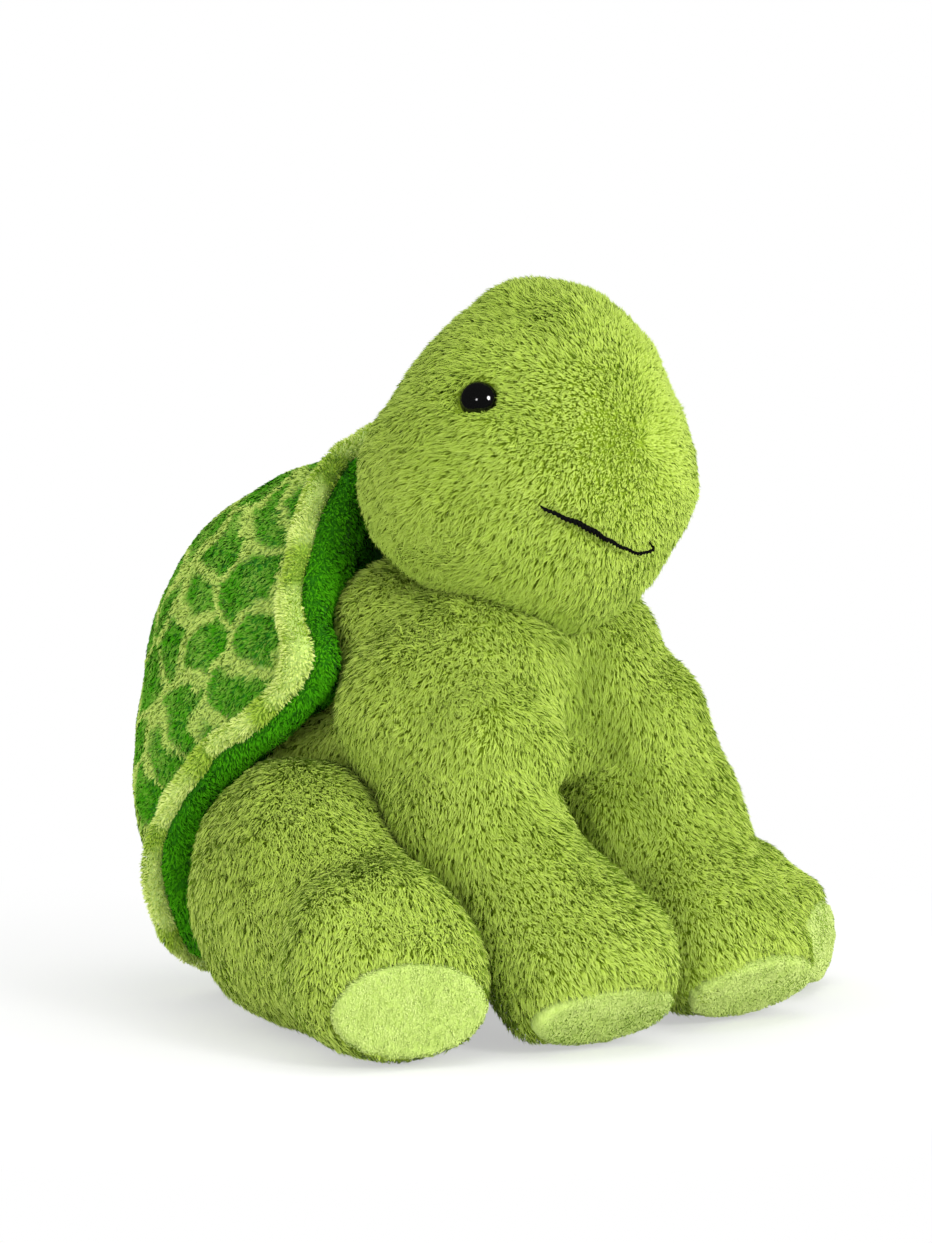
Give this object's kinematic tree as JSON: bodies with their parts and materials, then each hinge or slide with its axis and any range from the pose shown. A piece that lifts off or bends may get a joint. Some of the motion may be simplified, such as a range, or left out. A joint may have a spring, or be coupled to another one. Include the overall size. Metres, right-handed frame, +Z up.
{
  "type": "plush turtle",
  "caption": "Plush turtle that sits up, with a padded mottled shell on its back, sewn soles, glossy eyes and a stitched mouth. Its head turns and nods and its legs move.",
  "frame": {"origin": "on the floor, in the middle of the flat seat under the torso", "axes": "+Z up, the turtle faces -Y, its right side is at -X"},
  "size_m": [0.329, 0.2883, 0.307],
  "materials": {
    "lime_pile": "long soft pile",
    "pale_pile": "short velvety pile",
    "filling_fibre": "loose white fibre",
    "shell_print": "short pile printed in mottled greens",
    "piping_pile": "short pile, pale with soft darker patches",
    "facing_pile": "short pile, deep green",
    "eye_plastic": "glossy black",
    "mouth_thread": "black thread",
    "washer_plastic": "plain white"
  },
  "bodies": {
    "torso": {"torso_skin": "lime_pile", "torso_filling": "filling_fibre", "shell_cover": "shell_print", "shell_padding": "filling_fibre", "shell_facing": "facing_pile", "shell_piping": "piping_pile"},
    "neck": {"neck_filling": "filling_fibre"},
    "head": {"head_skin": "lime_pile", "head_filling": "filling_fibre", "eye_right": "eye_plastic", "eye_left": "eye_plastic", "eye_washer_right": "washer_plastic", "eye_washer_left": "washer_plastic", "mouth_stitches": "mouth_thread"},
    "foreleg_right": {"foreleg_right_skin": "lime_pile", "foreleg_right_filling": "filling_fibre", "forepaw_pad_right": "pale_pile"},
    "foreleg_left": {"foreleg_left_skin": "lime_pile", "foreleg_left_filling": "filling_fibre", "forepaw_pad_left": "pale_pile"},
    "hind_leg_right": {"hind_leg_right_skin": "lime_pile", "hind_leg_right_filling": "filling_fibre", "foot_pad_right": "pale_pile"},
    "hind_leg_left": {"hind_leg_left_skin": "lime_pile", "hind_leg_left_filling": "filling_fibre", "foot_pad_left": "pale_pile"}
  },
  "joints": [
    {"name": "neck_turn", "type": "hinge", "parent": "torso", "child": "neck", "pos_m": [0, -0.056, 0.186], "axis": [0, 0, 1], "range_deg": [-12, 12], "stiffness_Nm_per_rad": 0.6},
    {"name": "head_nod", "type": "hinge", "parent": "neck", "child": "head", "pos_m": [0, -0.056, 0.186], "axis": [-1, 0, 0], "range_deg": [-8, 5], "stiffness_Nm_per_rad": 1.5},
    {"name": "foreleg_right_swing", "type": "hinge", "parent": "torso", "child": "foreleg_right", "pos_m": [-0.048, -0.08, 0.118], "axis": [-1, 0, 0], "range_deg": [0, 35], "stiffness_Nm_per_rad": 0.6},
    {"name": "foreleg_left_swing", "type": "hinge", "parent": "torso", "child": "foreleg_left", "pos_m": [0.048, -0.08, 0.118], "axis": [-1, 0, 0], "range_deg": [0, 35], "stiffness_Nm_per_rad": 0.6},
    {"name": "hind_leg_right_spread", "type": "hinge", "parent": "torso", "child": "hind_leg_right", "pos_m": [-0.072, 0.012, 0.05], "axis": [0, 0, -1], "range_deg": [0, 14], "stiffness_Nm_per_rad": 0.8},
    {"name": "hind_leg_left_spread", "type": "hinge", "parent": "torso", "child": "hind_leg_left", "pos_m": [0.072, 0.012, 0.05], "axis": [0, 0, 1], "range_deg": [0, 14], "stiffness_Nm_per_rad": 0.8}
  ]
}
